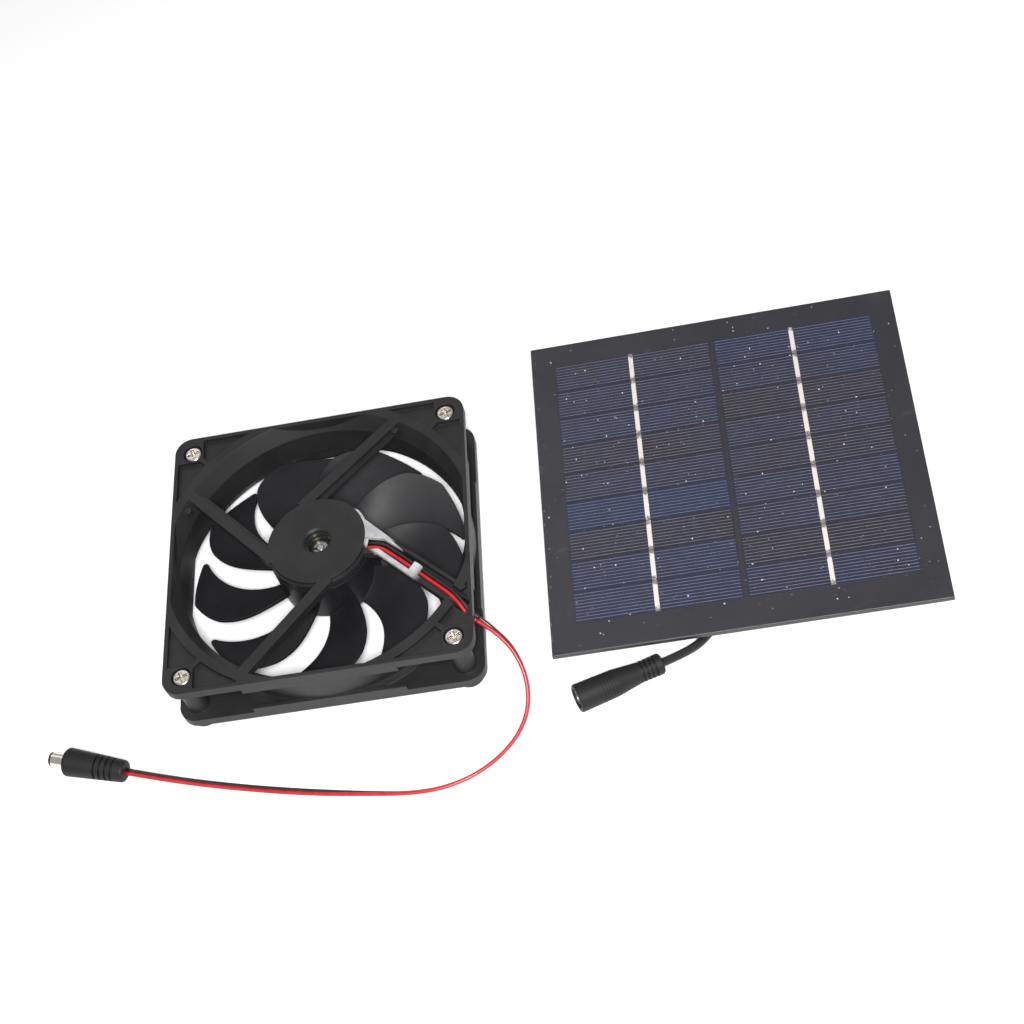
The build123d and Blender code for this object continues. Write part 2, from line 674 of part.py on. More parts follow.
with BuildPart() as plug_insulator:
    with BuildSketch(plug_plane):
        with BuildLine():
            Polyline((barrel_root, contact_radius), (barrel_tip, contact_radius),
                     (barrel_tip, barrel_radius - tip_edge), (barrel_tip - tip_edge, barrel_radius),
                     (barrel_tip - tip_ring, barrel_radius),
                     (barrel_tip - tip_ring, barrel_radius - barrel_wall),
                     (barrel_root, barrel_radius - barrel_wall), close=True)
        make_face()
    revolve(axis=plug_axis)
plug_insulator.part.label = "plug_insulator"
export_step(plug_insulator.part, "parts/plug_insulator.step")

with BuildPart() as plug_contact:
    with BuildSketch(plug_plane):
        along(barrel_root, barrel_tip - contact_recess, contact_radius - contact_wall, contact_radius)
    revolve(axis=plug_axis)
plug_contact.part.label = "plug_contact"
export_step(plug_contact.part, "parts/plug_contact.step")

# ---------------------------------------------------------------- solar panel: board, cells, ribbons, film
board_bottom = panel_top - front_layer_thickness - board_thickness
cells_bottom = board_bottom + board_thickness
cell_thickness = 0.25
ribbon_thickness = 0.2
strip_count = 9
strip_pitch = 14.0
strip_gap = 0.45
border_left = 9.8
border_top = 11.0
column_width = 64.2
column_gap = 2.0
ribbon_width = 1.8
ribbon_offset = 31.6             # from the left edge of a column of cells to its ribbon's middle
ribbon_break = 0.3

with BuildPart() as panel_board:
    with BuildSketch(panel_base.offset(board_bottom)):
        Rectangle(panel_side, panel_side)
    extrude(amount=board_thickness)
panel_board.part.label = "panel_board"
export_step(panel_board.part, "parts/panel_board.step")

strips_top = panel_side / 2 - border_top
column_lefts = {"left": -panel_side / 2 + border_left,
                "right": -panel_side / 2 + border_left + column_width + column_gap}
column_height = strip_count * strip_pitch
panel_faces = []
for column, left in column_lefts.items():
    with BuildPart() as cells:
        with BuildSketch(panel_base.offset(cells_bottom)):
            with Locations((left + column_width / 2, strips_top - column_height / 2)):
                with GridLocations(0, strip_pitch, 1, strip_count):
                    Rectangle(column_width, strip_pitch - strip_gap)
        extrude(amount=cell_thickness)
    cells.part.label = f"cells_{column}"
    export_step(cells.part, f"parts/cells_{column}.step")
    panel_faces.append(cells.part)
    # one soldered ribbon runs down each column, in lengths that cross from strip to strip
    with BuildPart() as ribbons:
        with BuildSketch(panel_base.offset(cells_bottom + cell_thickness)):
            with Locations((left + ribbon_offset, strips_top - column_height / 2)):
                with GridLocations(0, strip_pitch, 1, strip_count):
                    Rectangle(ribbon_width, strip_pitch - ribbon_break)
        extrude(amount=ribbon_thickness)
    ribbons.part.label = f"ribbons_{column}"
    export_step(ribbons.part, f"parts/ribbons_{column}.step")
    panel_faces.append(ribbons.part)

with BuildPart() as front_layer:
    with BuildSketch(panel_base.offset(cells_bottom)):
        Rectangle(panel_side, panel_side)
    extrude(amount=front_layer_thickness)
    for laid_in in panel_faces:
        add(laid_in, mode=Mode.SUBTRACT)
front_layer.part.label = "front_layer"
export_step(front_layer.part, "parts/front_layer.step")

# ---------------------------------------------------------------- junction box under the panel
box_length = 62.0
box_width = 44.0
box_wall = 1.6
box_corner = 4.0
cable_hole_x = -6.6              # from the panel's middle
terminal_pitch = 18.0
terminal_size = (7.0, 9.0)
terminal_height = 0.6
diode_radius = 1.35
diode_length = 5.2
diode_lead_radius = 0.4

with BuildPart() as junction_box:
    with BuildSketch(panel_base):
        RectangleRounded(box_length, box_width, box_corner)
    extrude(amount=board_bottom)
    with BuildSketch(panel_base.offset(box_wall)):
        RectangleRounded(box_length - 2 * box_wall, box_width - 2 * box_wall, box_corner - box_wall)
    extrude(amount=board_bottom, mode=Mode.SUBTRACT)
    with BuildSketch(Plane(origin=(panel_x + cable_hole_x, panel_y - box_width / 2 - 1, board_bottom / 2),
                           z_dir=(0, 1, 0))):
        Circle(cable_diameter / 2)
    extrude(amount=box_wall + 2, mode=Mode.SUBTRACT)
    chamfer(junction_box.edges().group_by(Axis.Z)[0], length=0.4)
junction_box.part.label = "junction_box"
export_step(junction_box.part, "parts/junction_box.step")

with BuildPart() as box_terminals:
    with BuildSketch(panel_base.offset(board_bottom)):
        with GridLocations(terminal_pitch, 0, 2, 1):
            Rectangle(*terminal_size)
    extrude(amount=-terminal_height)
box_terminals.part.label = "box_terminals"
export_step(box_terminals.part, "parts/box_terminals.step")

with BuildPart() as blocking_diode:
    diode_height = board_bottom - terminal_height - diode_radius
    lead_height = board_bottom - terminal_height - diode_lead_radius
    with BuildSketch(Plane(origin=(panel_x, panel_y, diode_height), z_dir=(1, 0, 0))):
        Circle(diode_radius)
    extrude(amount=diode_length / 2, both=True)
    with BuildSketch(Plane(origin=(panel_x, panel_y, lead_height), z_dir=(1, 0, 0))):
        Circle(diode_lead_radius)
    extrude(amount=terminal_pitch / 2, both=True)
blocking_diode.part.label = "blocking_diode"
export_step(blocking_diode.part, "parts/blocking_diode.step")

# ---------------------------------------------------------------- panel cable and its socket
cable_route = [(66.0, -15.5, 2.75), (66.0, -29.0, 2.75), (65.7, -46.0, 1.75), (62.6, -60.4, 1.72),
               (54.4, -71.2, 1.8), (45.8, -76.3, 3.1), (37.9, -79.4, 4.2)]
socket_heading = (Vector(*cable_route[-1]) - Vector(*cable_route[-2])).normalized()
socket_plane = Plane(origin=cable_route[-1], x_dir=socket_heading, z_dir=socket_heading.cross(Vector(0, 0, 1)))
socket_axis = Axis(cable_route[-1], socket_heading)
socket_length = 34.7
socket_radius = 5.5
socket_neck_radius = 4.0
socket_rib_start = 3.3
socket_rib_pitch = 1.75
socket_rib_count = 4
socket_rib_width = 0.75
socket_rib_cut = 2.6
groove_start = socket_length - 15.8
groove_pitch = 1.25
groove_count = 6
groove_width = 0.35
groove_cut = 0.9
mouth_radius = 4.0
mouth_depth = 10.5
sleeve_wall = 0.8
sleeve_recess = 0.8              # the sleeve and the pin start inside the mouth
socket_pin_radius = 1.0
socket_pin_recess = 1.2
socket_pin_point = 0.6
socket_base_thickness = 1.2

with BuildPart() as panel_cable:
    route_tube(cable_route, cable_diameter)
panel_cable.part.label = "panel_cable"
export_step(panel_cable.part, "parts/panel_cable.step")
print_route("panel_cable", cable_route, cable_diameter, panel_cable.part)

with BuildPart() as socket_body:
    with BuildSketch(socket_plane):
        with BuildLine():
            Polyline((0, 0), (0, socket_neck_radius - 0.4), (0.6, socket_neck_radius + 0.1),
                     (9.6, socket_neck_radius), (19.4, socket_radius - 0.3),
                     (socket_length - 0.4, socket_radius), (socket_length, socket_radius - 0.4),
                     (socket_length, 0), close=True)
        make_face()
    revolve(axis=socket_axis)
    with BuildSketch(socket_plane):
        for rib in range(socket_rib_count):
            with Locations((socket_rib_start + rib * socket_rib_pitch, socket_neck_radius + 0.4)):
                Rectangle(socket_rib_width, socket_rib_cut)
        for groove in range(groove_count):
            with Locations((groove_start + groove * groove_pitch, socket_radius)):
                Rectangle(groove_width, groove_cut)
        along(socket_length - mouth_depth, socket_length + 1, 0, mouth_radius)
    revolve(axis=socket_axis, mode=Mode.SUBTRACT)
socket_body.part.label = "socket_body"
export_step(socket_body.part, "parts/socket_body.step")

with BuildPart() as socket_sleeve:
    with BuildSketch(socket_plane):
        along(socket_length - mouth_depth, socket_length - sleeve_recess,
              mouth_radius - sleeve_wall, mouth_radius)
    revolve(axis=socket_axis)
socket_sleeve.part.label = "socket_sleeve"
export_step(socket_sleeve.part, "parts/socket_sleeve.step")

mouth_floor = socket_length - mouth_depth
pin_end = socket_length - socket_pin_recess
with BuildPart() as socket_pin:
    with BuildSketch(socket_plane):
        with BuildLine():
            Polyline((mouth_floor, 0), (mouth_floor, mouth_radius - sleeve_wall),
                     (mouth_floor + socket_base_thickness, mouth_radius - sleeve_wall),
                     (mouth_floor + socket_base_thickness, socket_pin_radius),
                     (pin_end - socket_pin_point, socket_pin_radius),
                     (pin_end, socket_pin_radius - socket_pin_point), (pin_end, 0), close=True)
        make_face()
    revolve(axis=socket_axis)
socket_pin.part.label = "socket_pin"
export_step(socket_pin.part, "parts/socket_pin.step")
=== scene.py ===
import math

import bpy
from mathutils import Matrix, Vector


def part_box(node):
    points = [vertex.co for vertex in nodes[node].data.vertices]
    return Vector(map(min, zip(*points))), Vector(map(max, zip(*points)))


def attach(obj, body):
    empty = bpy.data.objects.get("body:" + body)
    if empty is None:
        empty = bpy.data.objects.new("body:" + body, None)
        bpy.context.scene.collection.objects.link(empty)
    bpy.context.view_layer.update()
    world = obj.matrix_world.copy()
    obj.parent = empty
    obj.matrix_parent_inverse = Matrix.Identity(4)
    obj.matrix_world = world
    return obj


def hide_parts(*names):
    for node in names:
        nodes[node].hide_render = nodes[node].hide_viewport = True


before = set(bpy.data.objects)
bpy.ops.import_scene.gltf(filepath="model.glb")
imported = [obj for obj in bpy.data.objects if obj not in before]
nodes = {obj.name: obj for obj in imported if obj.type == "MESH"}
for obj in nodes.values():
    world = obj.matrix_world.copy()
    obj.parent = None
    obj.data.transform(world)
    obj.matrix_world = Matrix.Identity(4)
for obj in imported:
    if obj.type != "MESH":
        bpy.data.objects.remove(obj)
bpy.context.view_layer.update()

# %% [markdown]
# # A solar attic fan, finished in Blender
# The CAD model gives every hard part its true shape: the fan's frame and impeller, its screws and feet,
# the plug and the socket, and the layers of the solar panel.  What is left to do here is what the eye
# meets first.  The plastics, metals and rubbers get their surfaces.  The two cords become smooth.  The
# printed silver fingers, the clear front film and the dust are added to the panel.
#
# All lengths below are in millimetres and are turned into Blender's metres by one factor.

MM = 0.001

# %% [markdown]
# ## The camera
# The camera comes first, because the cords are judged through it.  It stands in front of the set and a
# little to the right, looks down at it at more than 50 degrees, and is rolled, as a hand-held one is.
# A turn, a tilt and a roll say that more clearly than three Euler angles would.

# %% Camera
camera_place = Vector((92.1, -458.3, 642.3)) * MM
camera_turn = math.radians(13.15)
camera_tilt = math.radians(53.61)
camera_roll = math.radians(-19.66)
lens_mm = 69.94

camera = bpy.data.objects.new("camera", bpy.data.cameras.new("camera"))
camera.data.lens = lens_mm
camera.data.clip_start = 10 * MM
level_look = Matrix.Rotation(camera_turn, 4, "Z") @ Matrix.Rotation(math.pi / 2 - camera_tilt, 4, "X")
camera.matrix_world = Matrix.Translation(camera_place) @ level_look @ Matrix.Rotation(camera_roll, 4, "Z")
bpy.context.scene.collection.objects.link(camera)
bpy.context.scene.camera = camera
print("camera looks along", [round(v, 4) for v in camera.matrix_world.to_3x3() @ Vector((0, 0, -1))])

# %% [markdown]
# ## Floor and light
# A plain pale floor and soft studio light are all the stage that a black product needs.  The main lamp
# shines from the camera's side, so that the floor seen through the fan's gaps stays white and shadows
# hide behind the things that throw them.  The world is an even grey, which the flat top faces mirror: it
# sets how black they look.  A weak lamp from the left behind gives the edges and screws a soft shine.

# %% Floor, world and lamps
floor_size = 6000 * MM
floor_tone = (0.9, 0.9, 0.9, 1)
world_strength = 0.42
# place, aim, size and watts
lamps = {"by_the_camera": ((119, -596, 835), (0, 0, 0), 200, 17.0),
         "left_behind": ((-500, 700, 1000), (-40, 0, 0), 600, 1.0)}

bpy.context.scene.view_settings.view_transform = "Standard"

bpy.ops.mesh.primitive_plane_add(size=floor_size, location=(0, 0, -0.05 * MM))
floor = bpy.context.object
floor.name = "floor"

world = bpy.data.worlds.new("studio")
world.use_nodes = True
world.node_tree.nodes["Background"].inputs["Color"].default_value = (1, 1, 1, 1)
world.node_tree.nodes["Background"].inputs["Strength"].default_value = world_strength
bpy.context.scene.world = world

for name, (place, aim, size, power) in lamps.items():
    lamp = bpy.data.objects.new(name, bpy.data.lights.new(name, "AREA"))
    lamp.data.size = size * MM
    lamp.data.energy = power
    lamp.location = Vector(place) * MM
    lamp.rotation_euler = (Vector(aim) * MM - lamp.location).to_track_quat("-Z", "Y").to_euler()
    bpy.context.scene.collection.objects.link(lamp)
print("lamps:", list(lamps))

# %% [markdown]
# ## Writing materials as sums
# A procedural finish is mostly arithmetic on positions and noises.  One small class wraps a node's
# output, so that `1 - mask` or `grain * 0.2` adds the Math node that it stands for.  Its one method,
# `node`, adds any other kind of node: first its settings, then the values or links of its sockets.

# %% The Signal class
class Signal:
    """An output of a node, with the arithmetic that adds Math nodes to its tree."""

    def __init__(self, tree, output):
        self.tree = tree
        self.output = output

    def node(self, kind, settings, sockets, output=0):
        """Add a node, make its settings, feed its sockets, and return one of its outputs."""
        made = self.tree.nodes.new("ShaderNode" + kind)
        for name, value in settings.items():
            if name == "stops":
                made.color_ramp.interpolation = "CONSTANT" if value[0] == "steps" else "LINEAR"
                for _ in value[3:]:
                    made.color_ramp.elements.new(0.5)
                for element, (place, colour) in zip(made.color_ramp.elements, value[1:]):
                    element.position = place
                    element.color = (*colour, 1)
            else:
                setattr(made, name, value)
        for name, value in sockets.items():
            if isinstance(value, Signal):
                self.tree.links.new(value.output, made.inputs[name])
            else:
                made.inputs[name].default_value = value
        return Signal(self.tree, made.outputs[output])

    def maths(self, operation, *others):
        """A Math node whose first value is this one."""
        return self.node("Math", {"operation": operation}, dict(enumerate((self, *others))))

    def __add__(self, other):
        return self.maths("ADD", other)

    def __sub__(self, other):
        return self.maths("SUBTRACT", other)

    def __rsub__(self, other):
        return self.maths("MULTIPLY_ADD", -1.0, other)

    def __mul__(self, other):
        return self.maths("MULTIPLY", other)

    __radd__ = __add__
    __rmul__ = __mul__

    def __truediv__(self, other):
        return self.maths("DIVIDE", other)

    def __gt__(self, other):
        return self.maths("GREATER_THAN", other)

    def __lt__(self, other):
        return self.maths("LESS_THAN", other)

    def __abs__(self):
        return self.maths("ABSOLUTE")

    def noise(self, size_mm, detail=3.0, roughness=0.55):
        """A noise whose blotches are about size_mm across; self is a position."""
        sockets = {"Vector": self, "Scale": 1 / (size_mm * MM), "Detail": detail, "Roughness": roughness}
        return self.node("TexNoise", {}, sockets)

    def ramp(self, low, high):
        """0 below low, 1 above high, and a smooth step between."""
        settings = {"interpolation_type": "SMOOTHSTEP"}
        return self.node("MapRange", settings, {"Value": self, "From Min": low, "From Max": high})

    def mix(self, first, second):
        """A colour from first to second by this number; each is a colour or another colour signal."""
        ends = [end if isinstance(end, Signal) else (*end, 1) for end in (first, second)]
        return self.node("Mix", {"data_type": "RGBA"}, {0: self, 6: ends[0], 7: ends[1]}, output=2)


# %% [markdown]
# ## A finish
# Each finish is one material with one Principled shader.  What is the same all over the piece goes
# straight onto the shader's own sockets, and what varies is fed from Object coordinates.  Every moulded
# edge is a little round on the real parts, so a Bevel node turns the normals at the CAD model's sharp
# edges, and a faint grain is added on top of that.

# %% Making a finish
class Finish:
    """A material, its Principled shader, and the position on the piece to build signals from."""

    def __init__(self, name, **constants):
        self.material = bpy.data.materials.new(name)
        self.material.use_nodes = True
        tree = self.material.node_tree
        self.shader = tree.nodes["Principled BSDF"]
        for socket, value in constants.items():
            self.shader.inputs[socket.replace("_", " ")].default_value = value
        self.place = Signal(tree, tree.nodes.new("ShaderNodeTexCoord").outputs["Object"])

    def feed(self, **signals):
        for socket, signal in signals.items():
            self.material.node_tree.links.new(signal.output, self.shader.inputs[socket.replace("_", " ")])

    def surface(self, edge_mm, height, strength, depth_mm):
        """Rounded edges of edge_mm, and a bump from a height signal, depth_mm deep."""
        rounded = self.place.node("Bevel", {"samples": 4}, {"Radius": edge_mm * MM})
        bump = {"Strength": strength, "Distance": depth_mm * MM, "Height": height, "Normal": rounded}
        self.feed(Normal=self.place.node("Bump", {}, bump))

    def axes(self):
        """The position's X, Y and Z as three numbers."""
        split = self.place.node("SeparateXYZ", {}, {"Vector": self.place})
        outputs = split.output.node.outputs
        return [Signal(split.tree, outputs[axis]) for axis in range(3)]


finishes = {}


def keep(name, finish):
    finishes[name] = finish.material
    print("finish", name, "has", len(finish.material.node_tree.nodes), "nodes")


# %% [markdown]
# ## Black mouldings
# The frame is a matt, fine-grained moulding, the impeller a smoother one with a cool sheen, and the
# feet, the plug and the socket are softer.  All are the same recipe with other numbers, so one function
# makes them: a dark colour with a faint cloudiness, a roughness that wanders a little, and a fine grain.

# %% Black mouldings
def moulding(name, dark, light, roughness, grain_mm, grain_depth_mm, edge_mm):
    """A black plastic or rubber, cloudy between two colours, with a grain; returns it and its colour."""
    finish = Finish(name, IOR=1.46, Specular_IOR_Level=0.38)
    colour = finish.place.noise(14).ramp(0.3, 0.7).mix(dark, light)
    streaks = finish.place.noise(2.5, detail=2)
    finish.feed(Base_Color=colour, Roughness=roughness + (streaks - 0.5) * 0.12)
    finish.surface(edge_mm, finish.place.noise(grain_mm, detail=2), 0.6, grain_depth_mm)
    keep(name, finish)
    return finish, colour


frame_finish, frame_colour = moulding("frame_black", (0.0105, 0.0102, 0.0107), (0.0150, 0.0145, 0.0150),
                                      0.5, 0.5, 0.015, 0.35)
moulding("blade_black", (0.0062, 0.0062, 0.0074), (0.0095, 0.0094, 0.0112), 0.5, 0.9, 0.006, 0.3)
moulding("foot_rubber", (0.011, 0.0105, 0.0105), (0.018, 0.017, 0.017), 0.66, 0.35, 0.02, 0.3)
moulding("plug_rubber", (0.0035, 0.0034, 0.0035), (0.0060, 0.0058, 0.0060), 0.6, 0.4, 0.01, 0.25)
moulding("cable_rubber", (0.012, 0.012, 0.0125), (0.018, 0.018, 0.0185), 0.2, 0.5, 0.004, 0.1)
moulding("inner_plastic", (0.01, 0.01, 0.01), (0.014, 0.014, 0.014), 0.5, 0.5, 0.01, 0.1)

# %% [markdown]
# ## The pale area on the frame
# Beside the motor plate the frame's top faces are pale: the web next to the plate, the bridge over the
# wires, and the start of the lower wall between them.  They are found by two lengths, measured along
# the channel and across it from the web's corner.  The plate itself stays black.

# %% The pale area
fan_low, fan_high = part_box("fan_frame")
fan_middle = (fan_low + fan_high) / 2
plate_edge_mm = 19.3
web_corner = fan_middle + Vector((14.9, 11.5, 0)) * MM
channel_turn = math.radians(-50)
top_depth = 1.6 * MM
pale_grey = (0.42, 0.42, 0.43)

x, y, z = frame_finish.axes()
along_mm = ((x - web_corner.x) * math.cos(channel_turn) + (y - web_corner.y) * math.sin(channel_turn)) / MM
across_mm = ((y - web_corner.y) * math.cos(channel_turn) - (x - web_corner.x) * math.sin(channel_turn)) / MM
from_hub_mm = x.node("VectorMath", {"operation": "DISTANCE"},
                     {0: x.node("CombineXYZ", {}, {"X": x, "Y": y}), 1: (*fan_middle.xy, 0)}, output=1) / MM
# the side with the bridge and the lower wall stays pale for 20 mm more
bridge_side = across_mm < 0.3
pale_end = 1 - (along_mm - bridge_side * 20).ramp(20, 25)
pale_band = across_mm.ramp(-8.5, -6.5) * (across_mm < 3.0)
pale = along_mm.ramp(-1.5, 0.5) * pale_band * pale_end * (from_hub_mm > plate_edge_mm)
# how pale the patch is varies in blotches, from 0.62 of the full pale grey up to all of it
pale_blotches = 0.62 + frame_finish.place.noise(5).ramp(0.3, 0.7) * 0.38
frame_finish.feed(Base_Color=(pale * (z > fan_high.z - top_depth) * pale_blotches).mix(frame_colour, pale_grey))
print("pale area from", [round(v / MM, 1) for v in web_corner.xy])

# %% [markdown]
# ## Metals
# Nickel plate is bright, a little warm, and never quite clean: its roughness wanders and fine scratches
# run across it.  Steel, brass and bronze inside the motor take the same recipe with other colours.

# %% Metals
def metal(name, colour, dull_colour, roughness, edge_mm=0.15):
    """A metal that is dull in blotches, with fine scratches."""
    finish = Finish(name, Metallic=1.0)
    blotches = finish.place.noise(1.6).ramp(0.42, 0.72)
    scratches = finish.place.node("TexNoise", {}, {"Vector": finish.place, "Scale": 2600.0, "Detail": 4.0})
    finish.feed(Base_Color=blotches.mix(colour, dull_colour),
                Roughness=roughness + blotches * 0.1 + (scratches - 0.5) * 0.1)
    finish.surface(edge_mm, scratches, 0.25, 0.01)
    keep(name, finish)


metal("screw_nickel", (0.66, 0.62, 0.57), (0.45, 0.41, 0.36), 0.24)
metal("barrel_nickel", (0.78, 0.74, 0.68), (0.55, 0.5, 0.44), 0.22)
metal("shaft_steel", (0.42, 0.43, 0.42), (0.3, 0.31, 0.3), 0.32)
metal("yoke_steel", (0.5, 0.5, 0.5), (0.35, 0.35, 0.35), 0.4)
metal("contact_brass", (0.62, 0.47, 0.2), (0.45, 0.32, 0.12), 0.3)
metal("bearing_bronze", (0.15, 0.115, 0.075), (0.09, 0.07, 0.045), 0.38)
metal("copper_winding", (0.6, 0.22, 0.08), (0.45, 0.14, 0.05), 0.3)

# %% [markdown]
# ## Insulation
# The wires' insulation is soft, glossy PVC, so a clear coat over a saturated colour does it.  The red
# and the black differ only in colour.  The bearing's tube, the clip, the insulators and the motor's board
# are inside pieces that show only through the plate's hole, or not at all.

# %% Insulation and inside plastics
def glossy(name, colour, shade_colour, roughness, coat):
    """A glossy plastic, slightly uneven in colour, with a clear coat."""
    finish = Finish(name, Coat_Weight=coat, Coat_Roughness=0.12)
    waves = finish.place.noise(3.0)
    finish.feed(Base_Color=waves.ramp(0.35, 0.65).mix(shade_colour, colour),
                Roughness=roughness + (waves - 0.5) * 0.1)
    finish.surface(0.05, waves, 0.3, 0.02)
    keep(name, finish)


glossy("red_insulation", (0.42, 0.009, 0.014), (0.34, 0.006, 0.010), 0.4, 0.14)
glossy("black_insulation", (0.012, 0.012, 0.012), (0.008, 0.008, 0.008), 0.4, 0.14)
glossy("tube_dark", (0.020, 0.028, 0.024), (0.012, 0.018, 0.015), 0.25, 0.5)
glossy("clip_grey", (0.16, 0.17, 0.165), (0.10, 0.11, 0.105), 0.35, 0.3)
glossy("insulator_white", (0.75, 0.8, 0.76), (0.66, 0.72, 0.68), 0.4, 0.1)
glossy("board_green", (0.02, 0.13, 0.05), (0.015, 0.1, 0.04), 0.35, 0.3)

# %% [markdown]
# ## Smooth lines for the cords
# A real lead has no corners.  The CAD tube follows straight runs and arcs, and the same route points as
# control points of a NURBS spline of order 3 give one smooth curve near it, without a kink anywhere.

# %% Routes and their smooth lines
lead_route = [(-27.1, -60.9, 24.6), (-21.4, -65.0, 22.0), (-14.6, -72.6, 16.6), (-11.6, -83.0, 9.6),
              (-13.8, -94.4, 4.0), (-22.6, -105.6, 1.5), (-37.0, -114.8, 1.5), (-55.0, -118.0, 1.5),
              (-80.0, -114.2, 1.5), (-104.0, -109.6, 1.5), (-129.0, -103.7, 1.5), (-151.8, -98.4, 3.45),
              (-170.3, -92.7, 4.5)]
cable_route = [(66.0, -15.5, 2.75), (66.0, -29.0, 2.75), (65.7, -46.0, 1.75), (62.6, -60.4, 1.72),
               (54.4, -71.2, 1.8), (45.8, -76.3, 3.1), (37.9, -79.4, 4.2)]


def spline_curve(name, route, steps):
    """A curve of one NURBS spline with the route's points, in millimetres, as its control points."""
    curve = bpy.data.curves.new(name, "CURVE")
    curve.dimensions = "3D"
    curve.resolution_u = steps
    spline = curve.splines.new("NURBS")
    spline.points.add(len(route) - 1)
    for point, place in zip(spline.points, route):
        point.co = (*(Vector(place) * MM), 1)
    spline.order_u = 3
    spline.use_endpoint_u = True
    return bpy.data.objects.new(name, curve)


def smooth_line(route, steps):
    """Points along the route's smooth spline, in order."""
    guide = spline_curve("guide", route, steps)
    bpy.context.scene.collection.objects.link(guide)
    bpy.context.view_layer.update()
    mesh = bpy.data.meshes.new_from_object(guide)
    line = [vertex.co.copy() for vertex in mesh.vertices]
    bpy.data.objects.remove(guide)
    return line


def line_length(line):
    return sum((b - a).length for a, b in zip(line, line[1:]))


lead_line = smooth_line(lead_route, 14)
print("lead line:", len(lead_line), "points,", round(line_length(lead_line) / MM, 1), "mm")

# %% [markdown]
# ## The two-wire lead
# The lead is a bonded pair: two round strands, red and black, joined by a thin web.  Its section is a
# figure of eight, swept along the line.  The pair rolls as it goes.  It leaves the slot lying flat, soon
# stands on edge with the red strand on top, and lies down again before the plug, black behind red.
# The roll is given by a few leaning directions of the red strand, and blended between them.

# %% The lead
strand_radius = 0.75 * MM
web_angle = math.radians(155)
points_per_strand = 22
lift_off = 3 * MM               # the height over which the pair leaves the floor
# share of the length, and where the red strand leans there
leans = [(0.0, (-0.59, -0.81, 0.0)), (0.045, (-0.2, -0.72, 0.68)), (0.12, (0.02, -0.56, 0.83)),
         (0.45, (0.0, -0.56, 0.83)), (0.7, (0.05, -0.97, 0.22)), (1.0, (0.05, -0.98, 0.16))]


def lean_at(share):
    """The direction in which the red strand leans, blended between the two nearest given ones."""
    for (start, first), (end, second) in zip(leans, leans[1:]):
        if share <= end:
            part = (share - start) / (end - start)
            part = part * part * (3 - 2 * part)
            return Vector(first).lerp(Vector(second), part)
    return Vector(leans[-1][1])


def pair_frames(line):
    """For each point of the line: the pair's middle, the red strand's direction and the direction across."""
    total = line_length(line)
    walked = 0.0
    frames = []
    for here, point in enumerate(line):
        before, after = line[max(here - 1, 0)], line[min(here + 1, len(line) - 1)]
        if here:
            walked += (point - line[here - 1]).length
        along = (after - before).normalized()
        lean = lean_at(walked / total)
        lean = (lean - along * lean.dot(along)).normalized()
        across = along.cross(lean)
        # where the pair lies on the floor, its lower strand touches it
        spare = strand_radius * (1 - abs(lean.z))
        lying = max(0.0, 1 - (point.z - 2 * strand_radius) / lift_off)
        frames.append((point - Vector((0, 0, spare * min(lying, 1.0))), lean, across))
    return frames


def figure_eight():
    """The section's points as (along the lean, across it), the red strand's first."""
    turns = [web_angle * (2 * k / (points_per_strand - 1) - 1) for k in range(points_per_strand)]
    red = [(1 + math.cos(turn), math.sin(turn)) for turn in turns]
    return red + [(-x, -y) for x, y in red]


frames = pair_frames(lead_line)
section = figure_eight()
count = len(section)
vertices = [middle + (lean * x + across * y) * strand_radius
            for middle, lean, across in frames for x, y in section]
faces = []
for ring in range(len(frames) - 1):
    for k in range(count):
        low, high = ring * count, (ring + 1) * count
        faces.append((low + k, low + (k + 1) % count, high + (k + 1) % count, high + k))
last = (len(frames) - 1) * count
faces.append(tuple(reversed(range(count))))
faces.append(tuple(range(last, last + count)))

lead_mesh = bpy.data.meshes.new("lead_pair")
lead_mesh.from_pydata(vertices, [], faces)
lead_mesh.materials.append(finishes["red_insulation"])
lead_mesh.materials.append(finishes["black_insulation"])
for face in lead_mesh.polygons:
    face.use_smooth = len(face.vertices) == 4
    face.material_index = int(face.vertices[0] % count >= points_per_strand - 1)
lead_pair = bpy.data.objects.new("lead_pair", lead_mesh)
bpy.context.scene.collection.objects.link(lead_pair)
lead_path = [middle for middle, _, _ in frames]
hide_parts("fan_lead")
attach(lead_pair, "fan_body")
line_length(lead_path)
print("lead pair:", len(lead_mesh.polygons), "faces")

# %% [markdown]
# ## The panel's cable
# This one is a single round cable, so the curve itself is the piece, with a bevel of half its diameter.

# %% The cable
cable_diameter = 3.4 * MM
panel_cord = spline_curve("panel_cord", cable_route, 16)
panel_cord.data.bevel_depth = cable_diameter / 2
panel_cord.data.bevel_resolution = 8
panel_cord.data.use_fill_caps = True
panel_cord.data.materials.append(finishes["cable_rubber"])
bpy.context.scene.collection.objects.link(panel_cord)
cable_line = smooth_line(cable_route, 16)
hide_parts("panel_cable")
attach(panel_cord, "panel_unit")
line_length(cable_line)
print("panel cord:", round(line_length(cable_line) / MM, 1), "mm")

# %% [markdown]
# ## The panel's silicon
# Each column is nine strips cut from different wafers, so each strip has its own tone, from a dark
# plum to a clear blue.  A ramp with steps gives one tone to each strip by its height on the panel.  The
# crystals of polycrystalline silicon are angular patches that reflect a little differently, which a
# Voronoi pattern and a slow noise give.

# %% Cell finish
board_low, board_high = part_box("panel_board")
strip_pitch = 14.0 * MM
strip_count = 9
strips_top = board_high.y - 11.0 * MM
left_blueness = (0.4, 0.5, 0.6, 0.2, 0.42, 1.0, 0.18, 0.62, 0.6)
right_blueness = (0.75, 0.55, 0.16, 0.42, 0.3, 0.5, 0.44, 0.1, 0.55)
plum = (0.011, 0.009, 0.013)
blue = (0.006, 0.013, 0.042)


